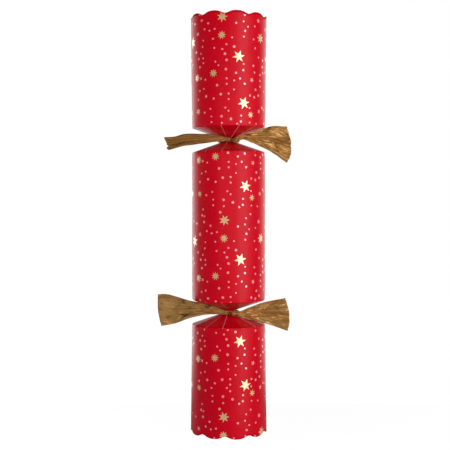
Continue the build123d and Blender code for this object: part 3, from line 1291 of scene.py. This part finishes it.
@dataclass(frozen=True)
class Wrap:
    """One turn of a knot: where its middle is, the half depth and height of its way round, and its lean.

    The pleats are waves of its thickness: how deep, waves round the section and waves along the turn.
    """

    aside: float
    ahead: float
    over: float
    halves: tuple[float, float]
    thick: float
    lean: float
    turn_steps: int = 96
    section_steps: int = 48
    pleats: tuple[tuple[float, int, int], ...] = ((0.13, 7, 2), (0.06, 13, -3))
    swell: float = 0.18
    swell_phase: float = 0.6
    oval: float = 1.25
    map_scale: float = 3.0

    def surface(self, neck: float) -> Surface:
        """A pleated ring whose middle line goes round an oval.

        Args:
            neck: height of the tie.

        Returns:
            The ring, with its flat paper map.
        """
        turn = np.linspace(0, 2 * np.pi, self.turn_steps, endpoint=False)[:, None]
        section = np.linspace(0, 2 * np.pi, self.section_steps, endpoint=False)[None, :]
        pleated = 1 + sum(deep * np.cos(a * section + b * turn) for deep, a, b in self.pleats)
        full = self.thick * pleated * (1 + self.swell * np.sin(turn + self.swell_phase))
        out = full * np.cos(section)
        side = self.oval * full * np.sin(section)
        deep = (self.halves[0] + out) * np.cos(turn)
        high = (self.halves[1] + out) * np.sin(turn)
        lean = math.radians(self.lean)
        across = self.aside + side * math.cos(lean) - high * math.sin(lean)
        up = neck + self.over + side * math.sin(lean) + high * math.cos(lean)
        points = together(across, -self.ahead - deep, up)
        flat = together(section * self.map_scale, turn * self.halves[1])
        return Surface.of_grid(points, flip=True, closed=True, ringed=True, flat=flat)


@dataclass
class Tie:
    """A gold paper tie: its twisted loop round the throat, its knot at the front and its tails."""

    name: str
    neck: float
    wraps: tuple[Wrap, Wrap]
    tails: tuple[Tail, Tail]
    tilt: float
    loop_radius: float = 7.25
    loop_depth: float = 0.95
    loop_height: float = 1.5
    strands: int = 3
    twists: int = 6
    strand_depth: float = 0.3
    pleat_depth: float = 0.05
    pleats: tuple[int, int] = (17, 5)
    turn_steps: int = 300
    section_steps: int = 84
    map_scale: float = 4.8
    paper: float = 0.14
    knot_sharp: float = 70.0
    tail_sharp: float = 75.0

    def loop(self) -> Surface:
        """A ring round the throat whose section is an oval of strands that twist as they go round.

        Returns:
            The ring, with its flat paper map.
        """
        turn = np.linspace(0, FULL_TURN, self.turn_steps, endpoint=False)[:, None]
        section = np.linspace(0, 2 * np.pi, self.section_steps, endpoint=False)[None, :]
        lay = np.radians(turn)
        lobes = np.abs(np.cos(self.strands / 2 * (section - self.twists * lay)))
        pleated = self.pleat_depth * np.cos(self.pleats[0] * section + self.pleats[1] * lay)
        full = 1 - self.strand_depth + self.strand_depth * lobes + pleated
        radius = self.loop_radius + self.loop_depth * full * np.cos(section)
        height = self.neck + self.tilt * np.sin(lay) + self.loop_height * full * np.sin(section)
        flat = together(section * self.map_scale, lay * self.loop_radius)
        points = around(turn, radius, height)
        return Surface.of_grid(points, closed=True, ringed=True, flat=flat)

    def build(self) -> None:
        """Makes the tie's pieces, gives its tails their thickness and puts all on the barrel."""
        # The loop and the knots take the darker paper, which is painted shade
        loop = self.loop().piece(f"{self.name}_loop", [SHADED_KNOT_PAPER], self.knot_sharp)
        wraps = []
        for wrap, place in zip(self.wraps, ("front", "back")):
            name = f"{self.name}_knot_{place}"
            wraps.append(wrap.surface(self.neck).piece(name, [SHADED_KNOT_PAPER], self.knot_sharp))
        tails = []
        for tail in self.tails:
            surface = tail.surface()
            surface.points[:, 2] += self.neck
            name = f"{self.name}_{tail.side.name.lower()}_tail"
            piece = surface.piece(name, [TIE_PAPER], self.tail_sharp)
            thicken(piece, self.paper, offset=0.0, even=False)
            tails.append(piece)
        for piece in (loop, *wraps, *tails):
            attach(piece, "barrel")
            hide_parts(self.name)
            LOG.info("%s: %d faces", piece.name, len(piece.data.polygons))


@dataclass
class Contents:
    """The pieces inside, which keep their solids and take their finishes."""

    finishes: dict[str, Finish] = field(
        default_factory=lambda: {
            "barrel_tube": TUBE_BOARD,
            "upper_end_tube": TUBE_BOARD,
            "lower_end_tube": TUBE_BOARD,
            "upper_snap_strip": SNAP_CARD,
            "lower_snap_strip": SNAP_CARD,
            "upper_snap_pad": SNAP_GRIT,
            "lower_snap_pad": SNAP_GRIT,
            "snap_sleeve": SNAP_PAPER,
            "paper_hat": HAT_TISSUE,
            "motto_slip": MOTTO_PAPER,
            "top_disc": TOP_WOOD,
            "top_spindle": TOP_WOOD,
        }
    )

    def dress(self) -> None:
        """Gives each node its finish."""
        for node, finish in self.finishes.items():
            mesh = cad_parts[node].data
            mesh.materials.clear()
            mesh.materials.append(finish.material())
            LOG.info("%s: %s", node, finish.name)


@dataclass(frozen=True)
class Lamp:
    """An oblong softbox that faces the cracker's axis, in metres, degrees and watts.

    Mirrored says whether reflections show it.
    """

    name: str
    bearing: float
    far: float
    height: float
    size: tuple[float, float]
    watts: float
    mirrored: bool = True

    def build(self, aim: float) -> None:
        """Puts the lamp into the scene.

        Args:
            aim: the height on the axis that it faces.
        """
        light = bpy.data.lights.new(self.name, "AREA")
        light.shape = "RECTANGLE"
        light.size, light.size_y = self.size
        light.energy = self.watts
        holder = bpy.data.objects.new(self.name, light)
        angle = math.radians(self.bearing)
        holder.location = (self.far * math.sin(angle), -self.far * math.cos(angle), self.height)
        drop = math.atan2(self.height - aim, self.far)
        holder.rotation_euler = (math.pi / 2 - drop, 0, angle)
        holder.visible_camera = False
        holder.visible_glossy = self.mirrored
        bpy.context.collection.objects.link(holder)


@dataclass
class Studio:
    """A white surround and floor, a softbox at the right, fills, rim lights and the photograph's camera.

    Sizes are in metres, the sensor's in millimetres and the field of view in degrees. A reflected ray
    sees more white as its way to the back rises from the first to the second value of white_from, and
    less as its way up rises from the first to the second of white_high; the rest of the room is dim
    to it. Any other ray gets the room's light, which falls to a share of itself overhead.
    """

    distance: float = 0.675
    height: float = 0.1665
    aside: float = -0.0027
    field_of_view: float = 27.7
    shift: float = -0.0444
    sensor: float = 36.0
    floor_size: float = 0.5
    floor_drop: float = 0.09
    floor_own: float = 0.82
    white_from: tuple[float, float] = (0.25, 0.85)
    white_high: tuple[float, float] = (0.2, 0.32)
    room_dim: float = 0.03
    room_light: float = 0.48
    room_top: float = 0.22
    floor_tints: tuple[Colour, Colour] = (srgb(172, 172, 172), srgb(178, 178, 178))
    # Bearing, distance, height, size and watts of each lamp
    lamps: tuple[Lamp, ...] = (
        Lamp("softbox", 44.0, 0.85, 0.24, (0.5, 0.75), 2.6),
        Lamp("softbox_edge", 41.0, 0.87, 0.24, (1.2, 0.75), 2.3),
        Lamp("front_fill", -10.0, 0.45, 0.2, (0.35, 0.2), 0.85, mirrored=False),
        Lamp("side_fill", 80.0, 0.6, 0.26, (0.4, 0.4), 0.55, mirrored=False),
        Lamp("left_fill", -105.0, 0.6, 0.12, (0.4, 0.4), 0.5, mirrored=False),
        Lamp("left_rim", -133.0, 0.9, 0.2, (0.7, 0.6), 1.7),
        Lamp("right_rim", 136.0, 0.9, 0.2, (0.72, 0.6), 0.95),
    )

    def camera(self) -> None:
        """The photograph's camera: level, a little over the middle of the cracker."""
        made = bpy.data.cameras.new("photograph")
        made.sensor_width = self.sensor
        made.lens = self.sensor / 2 / math.tan(math.radians(self.field_of_view) / 2)
        made.shift_y = self.shift
        holder = bpy.data.objects.new("photograph", made)
        holder.location = (self.aside, -self.distance, self.height)
        holder.rotation_euler = (math.pi / 2, 0, 0)
        bpy.context.collection.objects.link(holder)
        bpy.context.scene.camera = holder

    def world(self) -> None:
        """A white surround to the camera; reflections see a white wall behind and a dim room."""
        world = bpy.data.worlds.new("surround")
        bpy.context.scene.world = world
        world.use_nodes = True
        world.cycles.sampling_method = "NONE"
        recipe = Recipe(world.node_tree)
        rays = recipe.node("ShaderNodeLightPath")
        aim = recipe.out(recipe.node("ShaderNodeTexCoord"), "Generated")
        way = recipe.node("ShaderNodeSeparateXYZ", Vector=aim)
        shares = []
        for axis, (low, high) in (("Y", self.white_from), ("Z", self.white_high)):
            along = recipe.out(way, axis)
            share = recipe.node("ShaderNodeMapRange", Value=along, From_Min=low, From_Max=high)
            shares.append(recipe.out(share))
        back, over = shares
        behind = back * (1 - over)
        seen = recipe.out(rays, "Is Camera Ray")
        mirrored = recipe.out(rays, "Is Glossy Ray") + recipe.out(rays, "Is Transmission Ray")
        room = self.room_dim + (1 - self.room_dim) * behind
        soft = self.room_light * (1 - (1 - self.room_top) * over)
        rest = mirrored * room + (1 - mirrored) * soft
        glow = recipe.node("ShaderNodeBackground", Color=(1, 1, 1, 1), Strength=seen + (1 - seen) * rest)
        recipe.node("ShaderNodeOutputWorld", Surface=glow)

    def floor(self) -> None:
        """A floor under the pulled handle, whose white is part its own and part the light's."""
        material = bpy.data.materials.new("white_floor")
        material.use_nodes = True
        recipe = Recipe(material.node_tree)
        tone = recipe.noise(recipe.place("Object"), scale=3.0)
        rays = recipe.node("ShaderNodeLightPath")
        own = self.floor_own * recipe.out(rays, "Is Camera Ray")
        tint = recipe.ramp(tone, list(zip((0.0, 1.0), self.floor_tints)))
        matt = recipe.node("ShaderNodeBsdfDiffuse", Color=tint)
        glow = recipe.node("ShaderNodeEmission", Color=(1, 1, 1, 1), Strength=own)
        both = recipe.node("ShaderNodeAddShader", Shader=matt, Shader_001=glow)
        recipe.node("ShaderNodeOutputMaterial", Surface=both)
        size, low = self.floor_size, -self.floor_drop
        corners = [(-size, -size, low), (size, -size, low), (size, size, low), (-size, size, low)]
        mesh = bpy.data.meshes.new("floor")
        mesh.from_pydata(corners, [], [(0, 1, 2, 3)])
        mesh.materials.append(material)
        stage = bpy.data.objects.new("floor", mesh)
        bpy.context.collection.objects.link(stage)

    def build(self) -> None:
        """Sets up the studio."""
        bpy.context.scene.view_settings.view_transform = "Standard"
        self.camera()
        self.world()
        self.floor()
        for lamp in self.lamps:
            lamp.build(self.height)


def write_sizes() -> None:
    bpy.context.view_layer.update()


def upper_tie() -> Tie:
    """The upper tie: its left tail is gathered, and its right tail fans out and down.

    Returns:
        The tie.
    """
    left = Tail(
        Side.LEFT,
        edges=[
            (1.0, -0.9, 1.1), (7.2, -1.35, 3.2), (13.1, -2.0, 4.05), (21.1, -3.0, 4.25),
            (27.5, -3.9, 4.5), (32.5, -4.4, 4.25), (40.1, -6.4, 2.3), (46.0, -7.9, 1.95),
        ],
        cut=[
            (0.0, 44.0), (0.17, 45.4), (0.29, 45.0), (0.33, 44.2), (0.37, 44.8), (0.5, 45.4),
            (0.75, 46.4), (1.0, 47.4),
        ],
        section=[
            (0.0, 0.8, -1.4), (0.2, 0.4, -1.8), (0.36, 0.03, -1.0), (0.4, 0.0, 0.0), (0.47, 0.15, 1.8),
            (0.53, 0.29, -1.7), (0.62, 0.45, 2.0), (0.72, 0.66, -1.6), (0.84, 0.84, 1.9), (1.0, 1.0, 0.2),
        ],
        crumple=3.0,
        cells=(8, 5),
        seed=11,
    )
    right = Tail(
        Side.RIGHT,
        edges=[
            (4.6, -1.3, 1.5), (8.0, -0.6, 2.8), (10.5, 0.0, 3.8), (14.7, -1.4, 5.0), (21.7, -4.2, 7.0),
            (32.2, -9.5, 10.0), (42.9, -16.5, 9.9),
        ],
        cut=[(0.0, 42.9), (0.255, 45.7), (0.54, 46.0), (0.82, 44.5), (1.0, 42.9)],
        section=[
            (0.0, 0.0, 0.4), (0.1, 0.1, 1.7), (0.2, 0.2, -0.2), (0.3, 0.3, 1.8), (0.42, 0.42, 1.2),
            (0.5, 0.51, -2.2), (0.57, 0.57, 2.2), (0.75, 0.75, 0.5), (0.86, 0.86, -0.4), (1.0, 1.0, 2.0),
        ],
        crumple=4.5,
        cells=(6, 8),
        seed=23,
        depth=((1.0, 10.2), (8.0, 9.6), (17.0, 8.0), (32.0, 4.6), (47.0, 1.0)),
    )
    front = Wrap(aside=4.6, ahead=9.2, over=-0.8, halves=(1.0, 0.8), thick=1.35, lean=18.0)
    back = Wrap(aside=-0.4, ahead=8.6, over=0.1, halves=(0.7, 1.0), thick=0.95, lean=-42.0)
    return Tie("upper_ribbon", neck=214.25, wraps=(front, back), tails=(left, right), tilt=0.0)


def lower_tie() -> Tie:
    """The lower tie: both its tails fan out, and the left one is smoother.

    Returns:
        The tie.
    """
    left = Tail(
        Side.LEFT,
        edges=[
            (1.0, -1.0, 1.2), (8.6, -0.95, 4.1), (18.4, -1.7, 7.0), (29.7, -4.4, 9.1), (39.5, -8.2, 11.95),
            (45.8, -9.4, 13.35), (52.0, -10.3, 13.1),
        ],
        cut=[(0.0, 49.3), (0.18, 50.4), (0.42, 51.6), (1.0, 52.1)],
        section=[
            (0.0, 0.0, -0.3), (0.15, 0.15, 0.6), (0.3, 0.3, 0.1), (0.5, 0.5, 0.5), (0.72, 0.72, 0.2),
            (0.88, 0.88, 0.4), (0.94, 0.94, -0.5), (1.0, 1.0, 0.5),
        ],
        crumple=3.6,
        cells=(4, 7),
        seed=37,
    )
    right = Tail(
        Side.RIGHT,
        edges=[
            (2.6, -1.75, 0.8), (8.3, -3.0, 1.35), (16.0, -5.2, 4.5), (25.1, -7.3, 7.8), (33.0, -9.7, 9.4),
            (42.2, -13.0, 10.9),
        ],
        cut=[(0.0, 43.0), (0.26, 44.1), (0.47, 44.4), (0.75, 43.0), (1.0, 41.3)],
        section=[
            (0.0, 0.0, -1.2), (0.24, 0.24, 1.2), (0.36, 0.36, 0.1), (0.46, 0.46, -1.2), (0.54, 0.54, 1.2),
            (0.8, 0.8, 0.3), (1.0, 1.0, 0.3),
        ],
        crumple=4.4,
        cells=(5, 7),
        seed=52,
        depth=((1.0, 10.2), (8.0, 9.6), (17.0, 9.2), (32.0, 8.8), (47.0, 8.5)),
    )
    front = Wrap(aside=2.6, ahead=8.8, over=-0.2, halves=(0.9, 0.7), thick=0.85, lean=-50.0)
    back = Wrap(aside=-2.6, ahead=8.4, over=0.8, halves=(0.8, 0.8), thick=0.75, lean=-58.0)
    return Tie("lower_ribbon", neck=87.75, wraps=(front, back), tails=(left, right), tilt=-0.8)


def main() -> None:
    """Builds the cracker's sleeves, print, ties and contents, and the studio."""
    logging.basicConfig(level=logging.INFO, format="%(name)s: %(message)s")
    lower = HandleSleeve("lower_handle_wrapper", "lower_handle", first_slit=-9.3, shut_slits=(1,))
    upper = HandleSleeve("upper_handle_wrapper", "upper_handle", rim_height=305.0, upward=-1, length=81.8)
    barrel = BarrelSleeve("barrel_wrapper", "barrel", first_slit=-10.3, shut_slits=(1,))
    for sleeve in (lower, upper, barrel):
        sleeve.build()
    StarPrint(lower, top_star=97.45, low=0.5, high=78.3, turned=1.2, overlap=3.7).build()
    StarPrint(upper, top_star=300.15, low=223.7, high=304.5, turned=-1.1).build()
    StarPrint(barrel, top_star=155.65, low=97.2, high=204.8, turned=1.9).build()
    upper_tie().build()
    lower_tie().build()
    Contents().dress()
    Studio().build()
    write_sizes()


if __name__ == "__main__":
    main()
